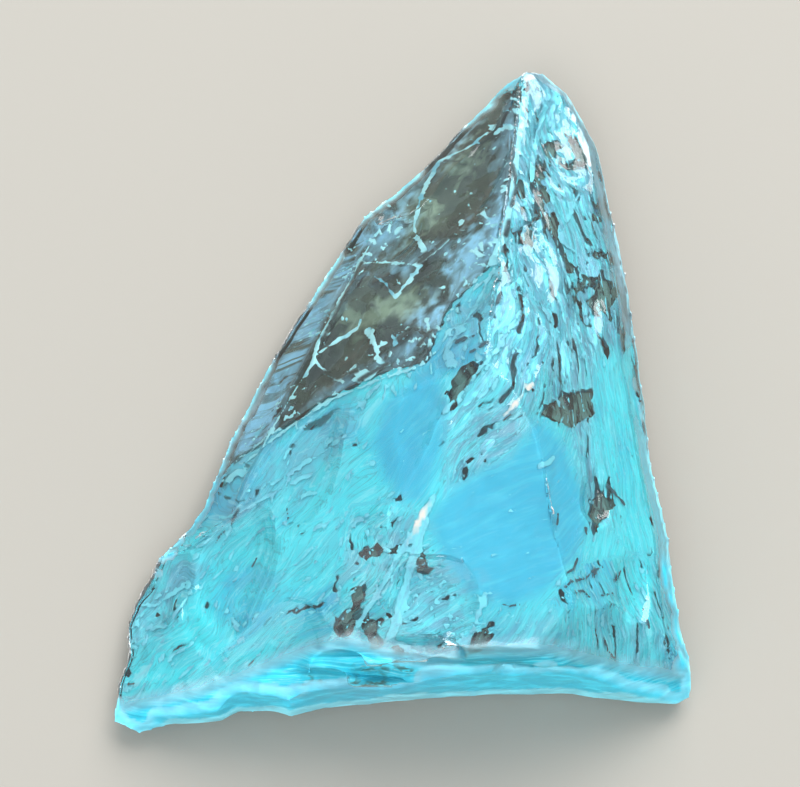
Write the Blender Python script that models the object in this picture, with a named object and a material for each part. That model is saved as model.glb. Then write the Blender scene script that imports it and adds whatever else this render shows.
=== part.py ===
"""A rough fragment of clear aquamarine, lying on its flattest broken face.

It is one solid. A slab follows the fragment's outline, undercut below its sharp rim and bevelled above
it. Flat faces are cut over the top of the slab, each given by a point on it, the direction that it faces
and how steeply it slopes. Shell-shaped (conchoidal) fracture scars, with their ripples, and the stepped
ledges along the broken base are then cut out of it.

Metres, +Z up. The origin is below the middle of the fragment, on the face that it rests on. The tip
points to +Y, and the broad broken base is at -Y.
"""

import math

import bmesh
import bpy
from mathutils import Matrix, Vector

MM = 0.001

# Driving dimensions, in millimetres. The outline is 50 long, from the tip to the broken base.
SLAB_HEIGHT = 20.0
LONGEST_MITRE = 1.5

# The rim rises and falls by this much, and its wave moves on by this angle at each outline point.
RIM_WOBBLE = 0.35
WOBBLE_STEP = math.radians(130)

# A corner this near to a cutting plane counts as on it, in metres.
ON_PLANE = 1e-7

# A scar's cutter: the lid is this high above the dish and this much wider than it.
SCAR_LID = 8.0
SCAR_FLARE = 1.15
SCAR_SIDES = 18
PLAIN_RINGS = 3
RINGS_PER_RIPPLE = 3

# How far the innermost ripple lies towards the point of the blow, and how uneven the scar's edge is,
# both as shares of its radius. The edge has broad lobes, and fine ones half as deep.
OFF_CENTRE = 0.5
UNEVEN = 0.09
BROAD_LOBES = 3
FINE_LOBES = 5

LEDGE_REACH = 6.0
LEDGE_RISER = 1.9

# The outline seen from above, anticlockwise from the tip, in millimetres. Each side has the height of
# its rim, how far it is undercut there, and the height and width of the bevel above the rim.
SIDES = [
    ("tip", [(10.6, 25.0), (9.0, 24.9), (7.8, 24.2)], 1.8, 1.0, 3.4, 0.7),
    ("left_edge", [
        (4.5, 20.7), (1.6, 17.6), (-0.6, 15.6), (-3.0, 13.7), (-4.3, 11.6), (-5.8, 9.3), (-6.5, 7.9),
        (-8.2, 5.6), (-9.8, 2.6), (-11.4, -0.7), (-12.8, -3.2), (-13.7, -5.8), (-14.6, -8.2),
    ], 1.9, 1.8, 4.9, 2.4),
    ("left_lobe", [
        (-15.9, -9.8), (-17.9, -12.0), (-19.9, -15.0), (-20.5, -16.9), (-20.4, -19.0), (-20.9, -21.0),
        (-21.2, -24.0), (-20.2, -24.7), (-18.9, -25.0),
    ], 1.8, 1.4, 3.2, 1.0),
    ("front_edge", [
        (-16.9, -24.4), (-12.9, -24.2), (-11.7, -23.3), (-9.4, -23.4), (-8.0, -23.9), (-5.6, -23.1),
        (-0.4, -22.8), (6.7, -22.1), (11.7, -22.1), (15.8, -22.8),
    ], 1.5, 0.8, 6.0, 0.5),
    ("right_corner", [(20.0, -22.9), (21.2, -22.4), (21.4, -21.3)], 1.9, 0.7, 4.6, 0.5),
    ("right_edge", [
        (20.4, -17.2), (19.5, -10.5), (18.4, -4.9), (17.6, 2.0), (16.9, 7.5), (15.9, 13.2), (14.6, 18.9),
        (12.5, 23.0),
    ], 2.3, 1.6, 4.8, 1.2),
]

# The flat faces: a point on the face, the direction it faces in degrees from +X, and its slope from
# the horizontal.
FLAT_FACES = {
    "plateau": ((7.8, -1.9, 15.2), -92, 8),
    "window": ((7.2, 11.1, 10.6), 140, 40),
    "left_high": ((2.3, -0.5, 14.6), 152, 44),
    "left_low": ((2.3, -0.5, 14.6), 168, 36),
    "fan": ((-9.8, -18.0, 8.3), 215, 28),
    "right_high": ((7.2, 11.1, 10.6), 33, 35),
    "right_middle": ((7.8, -1.9, 15.2), 20, 42),
    "right_low": ((9.3, -6.0, 14.6), 8, 48),
    "corner": ((12.7, -16.3, 13.2), -46, 50),
    "front": ((0.0, -20.2, 12.6), -90, 62),
}

# The fracture scars: name, the face that each is in, X and Y of its middle, its radius and depth, how
# many ripples it has and how high they are, how many times longer than wide it is, and which way it
# opens from the point where it was struck, in degrees from +X.
SCARS = [
    ("window_scar", "window", 4.4, 15.0, 3.1, 0.9, 1, 0.05, 1.8, 246),
    ("bevel_hollow", "window", -1.0, 10.8, 2.4, 0.6, 2, 0.10, 1.4, 220),
    ("crackle_hollow", "window", 3.6, 5.7, 2.8, 0.6, 2, 0.10, 1.4, 200),
    ("tip_ripples", "right_high", 12.3, 17.5, 3.2, 0.8, 4, 0.14, 1.4, 284),
    ("feather_scar", "right_high", 9.8, 7.0, 2.6, 0.6, 3, 0.12, 1.9, 280),
    ("band_chip", "right_high", 14.2, 12.6, 1.5, 0.5, 1, 0.08, 1.5, 100),
    ("right_hollow", "right_middle", 14.0, 4.2, 1.9, 0.6, 2, 0.10, 1.9, 278),
    ("high_pit", "right_middle", 12.0, -2.1, 1.5, 0.7, 0, 0.0, 1.4, 20),
    ("low_pit", "right_low", 14.0, -8.9, 1.5, 0.7, 0, 0.0, 1.4, 75),
    ("band_hollow", "right_low", 16.7, -15.4, 1.8, 0.5, 1, 0.08, 1.8, 80),
    ("left_hollow", "left_high", -4.3, 2.9, 2.6, 0.6, 2, 0.10, 1.6, 235),
    ("azure_left", "left_low", 1.2, -4.2, 2.2, 0.5, 0, 0.0, 2.1, 258),
    ("shoulder_scar", "left_low", -7.5, -6.1, 3.5, 0.8, 2, 0.12, 1.7, 240),
    ("lobe_fan", "left_low", -12.6, -14.0, 4.0, 0.9, 4, 0.14, 1.5, 248),
    ("lobe_hollow", "left_low", -17.4, -14.6, 2.0, 0.5, 1, 0.08, 1.8, 236),
    ("groove", "left_low", -0.6, -12.0, 0.9, 0.6, 0, 0.0, 4.6, 72),
    ("azure_right", "plateau", 7.0, -9.4, 4.6, 0.7, 0, 0.0, 1.4, 262),
    ("round_scar", "plateau", 1.9, -17.1, 3.3, 0.8, 2, 0.12, 1.1, 270),
    ("fan_scar", "fan", -9.6, -19.4, 3.0, 0.7, 2, 0.10, 1.6, 200),
    ("corner_ripples", "corner", 16.6, -18.4, 2.9, 0.8, 3, 0.14, 1.3, 320),
]

# The scars in its walls and bevels: name, the middle, the direction that each faces and how steeply,
# then as above.
WALL_SCARS = [
    ("front_scar_left", (-4.0, -23.1, 5.2), -92, 86, 2.3, 0.7, 2, 0.10, 1.9, 185),
    ("front_scar_right", (8.5, -22.2, 5.0), -90, 86, 2.4, 0.7, 2, 0.10, 1.8, 5),
    ("bevel_scar_low", (-10.2, -0.9, 3.6), 153, 50, 1.2, 0.4, 1, 0.06, 2.4, 243),
    ("bevel_scar_high", (0.2, 14.8, 3.5), 137, 50, 1.1, 0.4, 1, 0.06, 2.4, 227),
    ("right_band_scar", (17.4, -1.5, 3.6), 8, 64, 1.1, 0.4, 1, 0.06, 2.6, 278),
]

# The scars in the face that it rests on: name, X and Y of the middle, then as above.
REST_SCARS = [
    ("rest_scar_wide", -6.5, -15.5, 4.2, 0.8, 2, 0.10, 1.4, 40),
    ("rest_scar_tip", 6.5, 12.0, 2.8, 0.6, 2, 0.08, 1.7, 100),
]
REST_SCAR_RIM = 0.02

# The ledges along the broken base: name, the middle of the step's inner corner, its length, and how
# its run turns and dips, in degrees.
LEDGES = [
    ("ledge_low", (-2.4, -21.4, 6.4), 19.0, -2, 3),
    ("ledge_middle", (1.6, -20.7, 8.6), 16.0, -4, -2),
    ("ledge_high", (-2.0, -19.8, 10.8), 12.0, 3, 4),
    ("ledge_corner", (11.5, -21.0, 7.6), 9.0, -6, -4),
]


def facing(direction, slope):
    """The outward normal of a face that faces this way and slopes this much, both in degrees."""
    turn = math.radians(direction)
    lean = math.radians(slope)
    return Vector((math.sin(lean) * math.cos(turn), math.sin(lean) * math.sin(turn), math.cos(lean)))


def inset(points, widths):
    """The outline moved inwards by its own width at each point."""
    moved = []
    for i, point in enumerate(points):
        before = (point - points[i - 1]).normalized()
        after = (points[(i + 1) % len(points)] - point).normalized()
        inward = Vector((-before.y - after.y, before.x + after.x)).normalized()
        across = max(1 / LONGEST_MITRE, inward.dot(Vector((-before.y, before.x))))
        moved.append(point + inward * widths[i] / across)
    return moved


def slab():
    """The outline from its foot up, undercut below the rim and bevelled above it."""
    outline = []
    sizes = []
    for _, corners, rim, undercut, bevel_height, bevel_width in SIDES:
        for x, y in corners:
            wobble = RIM_WOBBLE * math.sin(WOBBLE_STEP * len(outline))
            outline.append(Vector((x, y)))
            sizes.append((rim + wobble, undercut + wobble, bevel_height + wobble, bevel_width - wobble / 2))
    feet = inset(outline, [undercut for _, undercut, _, _ in sizes])
    shoulders = inset(outline, [width for _, _, _, width in sizes])
    levels = [
        [(p.x, p.y, 0) for p in feet],
        [(p.x, p.y, rim) for p, (rim, _, _, _) in zip(outline, sizes)],
        [(p.x, p.y, height) for p, (_, _, height, _) in zip(shoulders, sizes)],
        [(p.x, p.y, SLAB_HEIGHT) for p in shoulders],
    ]
    bm = bmesh.new()
    rings = [[bm.verts.new(Vector(corner) * MM) for corner in level] for level in levels]
    bm.faces.new(rings[0])
    bm.faces.new(rings[-1])
    for lower, upper in zip(rings, rings[1:]):
        for i in range(len(lower)):
            after = (i + 1) % len(lower)
            bm.faces.new((lower[i], lower[after], upper[after], upper[i]))
    bmesh.ops.triangulate(bm, faces=bm.faces)
    bmesh.ops.recalc_face_normals(bm, faces=bm.faces)
    return bm


def cut_flat(bm, point, direction, slope):
    """Takes away what lies outside one flat face, and closes the cut."""
    everything = bm.verts[:] + bm.edges[:] + bm.faces[:]
    cut = bmesh.ops.bisect_plane(
        bm,
        geom=everything,
        dist=ON_PLANE,
        plane_co=Vector(point) * MM,
        plane_no=facing(direction, slope),
        clear_outer=True,
    )
    rim = [e for e in cut["geom_cut"] if isinstance(e, bmesh.types.BMEdge)]
    bmesh.ops.holes_fill(bm, edges=rim, sides=0)


def on_face(face, x, y):
    """The point of a flat face at X and Y, in millimetres, and the face's normal."""
    point, direction, slope = FLAT_FACES[face]
    normal = facing(direction, slope)
    drop = (normal.x * (x - point[0]) + normal.y * (y - point[1])) / normal.z
    return Vector((x, y, point[2] - drop)), normal


def scar_profile(radius, depth, ripples, ripple_height):
    """The dish's depth from its middle out to its rim, as (distance, height) pairs."""
    rings = PLAIN_RINGS + RINGS_PER_RIPPLE * ripples
    points = []
    for i in range(rings + 1):
        out = i / rings
        wave = ripple_height * math.sin(2 * math.pi * ripples * out) * out
        points.append((radius * out, depth * (out * out - 1) + wave))
    return points


def scar_cutter(name, point, normal, radius, depth, ripples, ripple_height, stretch, opens):
    """A rippled dish with a lid above it, laid on the face that it is struck from."""
    bm = bmesh.new()
    profile = scar_profile(radius, depth, ripples, ripple_height)
    profile.append((radius * SCAR_FLARE, SCAR_LID))
    turns = [2 * math.pi * k / SCAR_SIDES for k in range(SCAR_SIDES)]
    broad = [math.sin(BROAD_LOBES * t + point.x) for t in turns]
    fine = [math.sin(FINE_LOBES * t + point.y) for t in turns]
    edge = [1 + UNEVEN * (b + f / 2) for b, f in zip(broad, fine)]
    middle = bm.verts.new((-OFF_CENTRE * radius, 0, profile[0][1]))
    rings = []
    for distance, height in profile[1:]:
        shift = OFF_CENTRE * min(0, distance - radius)
        rings.append([
            bm.verts.new((shift + distance * e * math.cos(t), distance * e * math.sin(t), height))
            for t, e in zip(turns, edge)
        ])
    for k in range(SCAR_SIDES):
        after = (k + 1) % SCAR_SIDES
        bm.faces.new((middle, rings[0][after], rings[0][k]))
        for inner, outer in zip(rings, rings[1:]):
            bm.faces.new((inner[k], inner[after], outer[after], outer[k]))
    bm.faces.new(rings[-1])
    bmesh.ops.recalc_face_normals(bm, faces=bm.faces)
    run = Vector((math.cos(math.radians(opens)), math.sin(math.radians(opens)), 0))
    run = (run - normal * run.dot(normal)).normalized()
    place = Matrix((run * stretch, normal.cross(run), normal)).transposed().to_4x4()
    place.translation = point
    bmesh.ops.transform(bm, matrix=Matrix.Scale(MM, 4) @ place, verts=bm.verts)
    return helper(name, bm)


def ledge_cutter(name, corner, length, turn, dip):
    """A block whose lower inner edge makes the corner of a step."""
    bm = bmesh.new()
    bmesh.ops.create_cube(bm, size=1.0)
    bmesh.ops.scale(bm, vec=(length, LEDGE_REACH, LEDGE_RISER), verts=bm.verts)
    bmesh.ops.translate(bm, vec=(0, -LEDGE_REACH / 2, LEDGE_RISER / 2), verts=bm.verts)
    place = Matrix.Rotation(math.radians(turn), 4, "Z") @ Matrix.Rotation(math.radians(dip), 4, "Y")
    place.translation = Vector(corner)
    bmesh.ops.transform(bm, matrix=Matrix.Scale(MM, 4) @ place, verts=bm.verts)
    return helper(name, bm)


def helper(name, bm):
    """A cutter object, which isn't part of the fragment."""
    mesh = bpy.data.meshes.new(name)
    bm.to_mesh(mesh)
    bm.free()
    cutter = bpy.data.objects.new(name, mesh)
    cutter.hide_render = True
    cutter.display_type = "WIRE"
    return cutter


def cutters():
    """A collection of every scar's and ledge's cutter."""
    made = []
    for name, face, x, y, *shape in SCARS:
        made.append(scar_cutter(name, *on_face(face, x, y), *shape))
    for name, middle, direction, slope, *shape in WALL_SCARS:
        made.append(scar_cutter(name, Vector(middle), facing(direction, slope), *shape))
    for name, x, y, *shape in REST_SCARS:
        made.append(scar_cutter(name, Vector((x, y, REST_SCAR_RIM)), Vector((0, 0, -1)), *shape))
    for ledge in LEDGES:
        made.append(ledge_cutter(*ledge))
    collection = bpy.data.collections.new("cutters")
    bpy.context.scene.collection.children.link(collection)
    for cutter in made:
        collection.objects.link(cutter)
    return collection


def aquamarine():
    """The clear sea-blue finish."""
    material = bpy.data.materials.new("aquamarine")
    material.use_nodes = True
    shader = material.node_tree.nodes["Principled BSDF"]
    shader.inputs["Base Color"].default_value = (0.46, 0.83, 0.93, 1)
    shader.inputs["Roughness"].default_value = 0.05
    shader.inputs["Metallic"].default_value = 0.0
    shader.inputs["Transmission Weight"].default_value = 1.0
    shader.inputs["IOR"].default_value = 1.577
    return material


def main():
    for leftover in list(bpy.data.objects):
        bpy.data.objects.remove(leftover)
    bm = slab()
    for point, direction, slope in FLAT_FACES.values():
        cut_flat(bm, point, direction, slope)
    bmesh.ops.triangulate(bm, faces=bm.faces)
    bmesh.ops.recalc_face_normals(bm, faces=bm.faces)
    mesh = bpy.data.meshes.new("crystal")
    bm.to_mesh(mesh)
    bm.free()
    mesh.materials.append(aquamarine())
    crystal = bpy.data.objects.new("crystal", mesh)
    bpy.context.scene.collection.objects.link(crystal)
    scars = crystal.modifiers.new("scars", "BOOLEAN")
    scars.operation = "DIFFERENCE"
    scars.operand_type = "COLLECTION"
    scars.collection = cutters()


main()
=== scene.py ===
"""The looks of a rough aquamarine fragment: its broken skin, the veils inside it and a plain studio."""

import math

import bmesh
import bpy
import numpy as np
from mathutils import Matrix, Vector, noise
from mathutils.bvhtree import BVHTree
from mathutils.kdtree import KDTree


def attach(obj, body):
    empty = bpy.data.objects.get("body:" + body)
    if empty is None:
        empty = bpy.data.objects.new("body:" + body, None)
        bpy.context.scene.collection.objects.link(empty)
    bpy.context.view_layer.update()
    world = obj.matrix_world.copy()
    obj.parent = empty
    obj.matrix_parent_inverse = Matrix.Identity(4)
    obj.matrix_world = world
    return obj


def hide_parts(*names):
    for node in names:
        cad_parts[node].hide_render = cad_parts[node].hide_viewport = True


MM = 0.001

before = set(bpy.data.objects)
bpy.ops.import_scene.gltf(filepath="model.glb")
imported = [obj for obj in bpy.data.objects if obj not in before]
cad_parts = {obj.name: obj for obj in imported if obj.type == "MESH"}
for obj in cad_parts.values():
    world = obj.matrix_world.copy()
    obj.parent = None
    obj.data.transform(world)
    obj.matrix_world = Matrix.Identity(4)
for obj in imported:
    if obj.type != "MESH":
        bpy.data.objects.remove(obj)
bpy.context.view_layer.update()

# Places on the crystal, as outlines seen from above, in millimetres.
# The clear part: all of the upper left, as far as the diagonal where the veils end.
CLEAR = [
    (9.0, 22.6), (5.0, 24.0), (0.0, 20.0), (-5.0, 14.0), (-9.0, 6.0), (-12.5, -1.0), (-13.0, -6.0),
    (-11.3, -4.6), (-8.5, -3.2), (-5.2, -1.4), (-1.7, -0.3), (1.8, 0.3), (2.7, 2.5), (3.6, 5.0),
    (5.1, 6.2), (6.6, 8.1), (7.3, 10.0), (7.9, 13.0), (8.4, 17.2),
]
# Two calm, even patches of the veils, which nothing breaks, kept deep blue as a painted reflection of the
# sky in a flat inner face.
AZURE_REFLECTIONS = [
    [
        (2.1, 0.2), (0.1, -1.3), (-1.6, -2.5), (-2.1, -5.3), (-1.3, -8.3), (0.1, -10.0), (1.5, -9.9),
        (2.4, -7.7), (3.1, -5.1), (2.8, -2.5),
    ],
    [
        (9.1, -4.2), (10.3, -4.2), (11.4, -5.3), (12.3, -7.3), (13.1, -9.2), (13.0, -11.6),
        (11.9, -14.0), (10.0, -16.1), (7.5, -17.4), (4.7, -16.5), (2.6, -14.0), (1.9, -11.3),
        (3.4, -9.2), (5.5, -7.7), (7.6, -6.7), (8.8, -5.6),
    ],
]
# Openings through both veils.
GAPS = [
    [(9.4, -3.6), (10.1, -2.6), (11.2, -1.7), (13.4, -0.9), (13.6, -2.5), (12.0, -4.3), (10.3, -3.7)],
    [(13.3, -9.0), (14.1, -8.3), (15.0, -9.2), (14.2, -10.5), (13.4, -11.6), (13.0, -10.5)],
    [(3.2, -2.4), (3.9, -0.9), (5.0, -0.2), (5.4, -0.7), (4.6, -2.0), (3.6, -3.6)],
]
# The crushed middle.
CENTRE = [
    (2.7, -2.5), (3.5, -3.7), (5.0, -1.7), (6.3, 0.9), (5.5, 4.8), (7.0, 7.7), (7.9, 9.8), (9.1, 5.1),
    (10.2, 2.8), (10.9, -0.1), (10.1, -2.4), (9.2, -4.3), (7.6, -6.7), (5.5, -7.7), (3.2, -9.0),
]
# The crushed facet on the right, up to the tip.
SIDE = [
    (9.0, 25.5), (14.0, 24.0), (17.5, 14.0), (19.0, 2.0), (22.0, -12.0), (16.0, -12.5), (13.3, -9.1),
    (12.0, -4.4), (10.1, -1.1), (9.1, 2.6), (7.6, 9.7), (8.4, 17.2),
]
# The lower right corner.
CORNER = [
    (12.9, -13.8), (15.5, -12.9), (22.0, -12.0), (22.0, -20.5), (17.0, -20.5), (14.0, -20.4),
    (11.5, -19.6), (10.2, -16.8),
]
# The cracked strip below the middle.
CRACKLE = [
    (-3.5, -9.9), (-0.2, -9.9), (1.6, -11.3), (2.6, -14.0), (4.7, -16.8), (6.1, -18.9), (5.4, -20.0),
    (1.3, -19.9), (-1.6, -19.4), (-4.0, -17.9), (-4.7, -14.5),
]
# The low lobe at the far left.
LOBE = [
    (-21.5, -22.3), (-21.5, -15.0), (-16.9, -11.0), (-14.9, -11.5), (-15.6, -14.6), (-17.1, -17.5),
    (-18.1, -21.1), (-18.9, -23.5),
]
# The chipped front wall.
FRONT = [
    (-21.5, -22.9), (-14.4, -21.9), (-10.4, -20.6), (-6.5, -19.4), (-3.5, -19.2), (-1.0, -20.0),
    (2.0, -20.5), (4.5, -20.0), (10.5, -19.9), (17.0, -20.5), (22.5, -20.5), (22.5, -26.0),
    (-22.5, -26.0),
]
# The front wall with the ledges above it.
LEDGES = [
    (-21.5, -22.9), (-13.0, -20.9), (-8.5, -18.6), (-3.0, -17.9), (7.5, -18.0), (11.5, -18.9),
    (17.0, -20.0), (22.5, -20.0), (22.5, -26.0), (-22.5, -26.0),
]
# A calmer band beside the right edge.
BAND = [
    (14.4, 2.0), (17.4, 5.0), (18.6, -1.7), (19.4, -9.4), (22.0, -12.5), (15.1, -12.6), (14.6, -9.0),
    (13.6, -5.0), (13.4, -1.0),
]
# A round break in the cracked strip.
RING = [(1.6, -11.5), (4.8, -14.6), (6.2, -17.0), (5.0, -19.9), (1.9, -20.2), (-0.6, -18.8)]
# The ribbed bevel on the left of the clear part.
BEVEL = [
    (-12.2, -3.6), (-9.6, 0.9), (-7.4, 4.8), (-4.9, 9.3), (-2.4, 12.7), (-2.4, 11.2), (-3.6, 8.8),
    (-5.0, 6.1), (-6.3, 3.3), (-8.3, -1.0), (-10.6, -5.2),
]

# Each of these breaks along its own grain, in degrees from +X, and the rest along the body's.
BODY_GRAIN = 60
GRAINS = [
    (SIDE, 98), (CENTRE, 54), (AZURE_REFLECTIONS[1], 22), (CORNER, 128), (CRACKLE, 68), (RING, 30), (BEVEL, 150),
    (FRONT, 2),
]

# How lively the break is: 0 for a calm, even veil and 1 for a crushed one.
BODY_LIFE = 0.14
LIVES = [
    (SIDE, 0.85), (BAND, 0.25), (CENTRE, 0.85), (CORNER, 0.40), (CRACKLE, 0.65), (RING, 0.5),
    (FRONT, 0.35), (LOBE, 0.55),
]

# Small openings in the upper veil, dark with the painted shade beneath them, as ovals: the middle, half the
# length and width, the angle.
SPOTS = [
    (-2.2, -13.4, 0.9, 0.5, 20), (-0.8, -13.3, 0.7, 0.3, 0), (-3.0, -16.1, 0.8, 0.5, 60),
    (-3.7, -17.9, 0.9, 0.8, 0), (-2.2, -18.6, 1.5, 0.6, 110), (-0.3, -19.9, 1.3, 0.4, 155),
    (1.3, -13.9, 0.9, 0.3, 75), (5.5, -19.5, 1.1, 0.5, 55),
    (8.5, 14.2, 1.3, 0.25, 95), (11.0, 18.0, 1.1, 0.45, 65), (9.9, 15.8, 1.3, 0.5, 75),
    (13.0, 18.3, 1.5, 0.45, 125), (12.4, 17.0, 1.0, 0.5, 20), (9.9, 13.2, 1.4, 0.5, 80),
    (10.7, 11.5, 1.9, 0.5, 115), (8.9, 10.5, 0.8, 0.7, 0), (7.2, 9.2, 0.6, 0.2, 60),
    (14.5, 14.0, 1.6, 0.65, 60), (14.7, 17.3, 0.9, 0.3, 100), (14.6, 9.8, 0.7, 0.4, 0),
    (11.8, 8.6, 0.9, 0.35, 110), (12.7, 7.3, 1.2, 0.45, 70), (14.4, 6.6, 1.8, 1.1, 60),
    (16.2, 6.6, 1.4, 0.3, 100), (15.9, 4.0, 1.2, 0.3, 100), (16.9, 1.8, 1.6, 0.25, 98),
]
# Where the milk is at its strongest turquoise.
SEAS = [
    (-15.0, -17.8, 4.6, 1.9, 72), (17.0, -15.4, 5.0, 1.1, 99), (-18.6, -21.0, 2.6, 1.4, 75),
    (16.6, -6.5, 3.5, 1.0, 97), (-10.5, -20.2, 2.8, 0.8, 20), (-12.8, -12.6, 2.6, 0.8, 60),
]
# Where the depth of the clear part is khaki, and where it is lilac.
KHAKIS = [(-1.3, 5.3, 3.2, 1.3, 15), (2.6, 14.6, 4.0, 1.4, 60), (5.6, 6.6, 1.4, 0.7, 20)]
LILACS = [
    (-3.6, 8.6, 1.6, 0.9, 60), (-1.0, 11.7, 2.0, 1.2, 58), (3.2, 18.6, 4.2, 0.9, 56),
    (5.0, 8.3, 2.6, 1.5, 60), (7.3, 10.8, 3.0, 1.0, 78), (-10.2, -2.2, 2.8, 1.3, 55),
    (3.0, 3.2, 2.2, 1.7, 50), (-6.4, 5.6, 1.4, 0.7, 60), (-4.6, -1.6, 2.6, 0.7, 35),
    (0.4, 1.4, 1.6, 0.8, 40), (8.4, 19.0, 2.4, 0.6, 75), (1.2, 8.9, 1.8, 0.5, 20),
]
# Where that painted shade is nearly black.
DUSKS = [
    (3.4, 10.9, 1.3, 0.45, 55), (1.9, 8.2, 1.1, 0.5, 50), (-0.3, 7.7, 1.5, 0.7, 15),
    (0.4, 2.8, 1.5, 0.6, 10), (4.6, 1.4, 1.3, 0.7, 40), (-4.4, 0.5, 1.6, 0.35, 30),
    (7.6, 10.7, 0.9, 0.35, 75), (5.3, 12.6, 1.4, 0.45, 60), (-7.6, -2.2, 1.4, 0.35, 55),
]
# Where the milk turns lilac grey.
GREYS = [
    (4.9, 3.2, 3.2, 2.0, 45), (-7.4, -5.6, 4.6, 1.7, 35), (-18.0, -15.3, 3.6, 1.7, 55),
    (2.5, -17.4, 2.6, 2.1, 30), (8.6, -18.9, 2.2, 0.8, 5), (16.6, -18.6, 1.4, 0.9, 0),
    (-3.0, -21.7, 3.4, 0.7, 0), (10.4, 20.3, 2.6, 1.3, 80), (13.6, 17.2, 3.0, 1.3, 100),
    (-11.0, -4.2, 2.2, 1.3, 50), (-0.6, -12.4, 2.0, 1.4, 60), (7.9, 0.4, 2.6, 0.9, 60),
    (6.2, -3.4, 2.4, 1.0, 50), (-12.2, -8.6, 2.8, 1.0, 60), (10.9, 22.6, 1.8, 1.2, 90),
]
# Whole places with some of that grey, from 0 to 1.
DULLS = [(SIDE, 0.74), (BAND, 0.05), (CENTRE, 0.66)]
# Cream glints.
GLINTS = [(9.1, -1.6, 0.50, 0.30, 60), (7.9, -3.1, 0.8, 0.15, 48), (1.1, -11.4, 0.95, 0.20, 62)]

# How much of each place is strewn with pale specks and dashes, from 0 to 1.
BODY_SPECKS = 0.085
SPECKS = [
    (CLEAR, 0.020), (SIDE, 0.13), (BAND, 0.04), (CENTRE, 0.12), (CRACKLE, 0.13), (RING, 0.18),
    (CORNER, 0.13), (FRONT, 0.07), (LOBE, 0.12),
]
# Brushes of pale feathers in the clear part.
FEATHERS = [
    (-1.3, 12.2, 1.6, 1.0, 60), (-3.7, 9.3, 1.2, 0.8, 55), (-6.1, 4.9, 1.2, 0.9, 60),
    (6.0, 7.0, 2.6, 1.6, 65), (7.0, 11.7, 3.0, 0.9, 80), (0.2, 1.9, 1.6, 1.2, 30),
    (-4.4, -1.6, 3.4, 1.0, 40), (3.6, 1.6, 2.2, 1.6, 40), (8.0, 20.6, 2.6, 0.8, 60),
    (-9.6, -3.0, 2.4, 0.9, 50),
]

# Cracks that show as pale lines: the route seen from above, and half the width.
STROKES = [
    ([(6.3, 19.4), (5.0, 18.3), (2.8, 17.7), (1.5, 15.0), (0.9, 12.2), (1.4, 10.1), (2.0, 9.2)], 0.17),
    ([(2.0, 9.2), (2.9, 9.8), (3.4, 10.4)], 0.14),
    ([(-2.7, 9.5), (-0.7, 9.2), (1.3, 8.4), (0.4, 7.1), (-0.5, 6.1)], 0.15),
    (
        [(-2.2, 11.3), (-3.4, 9.0), (-4.7, 6.1), (-6.0, 3.5), (-6.5, 1.7), (-8.1, -0.9), (-10.4, -4.9)],
        0.13,
    ),
    ([(-6.3, 2.3), (-4.6, 3.4), (-3.2, 4.0), (-2.9, 4.8)], 0.11),
    ([(-6.3, 1.9), (-5.2, 0.6), (-4.2, -0.3)], 0.14),
    ([(-2.4, 3.8), (-1.9, 2.2), (-1.7, 1.2), (-1.2, 0.5)], 0.19),
    ([(1.8, 3.9), (2.0, 1.6), (2.1, -0.7)], 0.15),
    ([(-2.0, 8.2), (-1.2, 7.4), (-0.5, 6.0)], 0.10),
    ([(9.0, 22.3), (8.4, 17.2), (7.9, 13.0), (7.3, 10.0), (6.4, 7.8)], 0.22),
    ([(1.6, -11.3), (0.7, -14.0), (0.0, -16.8), (-0.7, -19.1)], 0.36),
    ([(2.2, -9.6), (1.6, -10.8), (0.2, -13.0), (-1.2, -15.4), (-2.3, -17.0), (-3.1, -18.3)], 0.21),
    (
        [(-1.0, -19.0), (0.2, -19.8), (2.0, -20.3), (3.7, -20.0), (4.6, -19.4), (5.3, -17.9), (5.8, -16.4)],
        0.19,
    ),
    ([(0.7, -15.5), (1.6, -15.2), (2.7, -15.0)], 0.14),
    ([(-7.2, -20.9), (-5.1, -20.2), (-1.6, -20.4), (2.0, -20.7), (6.9, -21.0), (11.1, -20.7)], 0.22),
    ([(-11.6, -22.7), (-7.3, -22.3), (-3.0, -21.2), (1.3, -21.5), (7.0, -21.8), (11.3, -21.8)], 0.16),
    ([(3.0, -3.7), (4.8, -1.6), (6.9, 1.1), (8.4, 4.1)], 0.16),
    ([(10.8, 22.4), (10.2, 20.2), (9.6, 17.5), (9.4, 14.9)], 0.20),
    ([(13.0, 14.7), (12.1, 12.4), (11.4, 10.3), (12.5, 9.7)], 0.18),
    ([(-11.3, -5.3), (-8.5, -3.4), (-5.2, -1.6), (-1.7, -0.7), (1.6, 0.2)], 0.12),
    ([(9.7, -7.4), (10.3, -7.1), (10.6, -6.6)], 0.20),
    ([(3.6, 1.8), (5.2, 4.4), (6.6, 7.4)], 0.14),
    ([(-9.4, -7.4), (-6.6, -5.9), (-4.0, -4.6)], 0.16),
    ([(-12.4, -9.4), (-9.2, -8.0), (-6.4, -6.9)], 0.14),
    ([(-16.5, -16.6), (-14.9, -14.2), (-13.2, -11.9), (-11.7, -8.7)], 0.10),
    ([(-18.9, -15.3), (-17.9, -15.4), (-16.3, -14.5)], 0.14),
]
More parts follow.
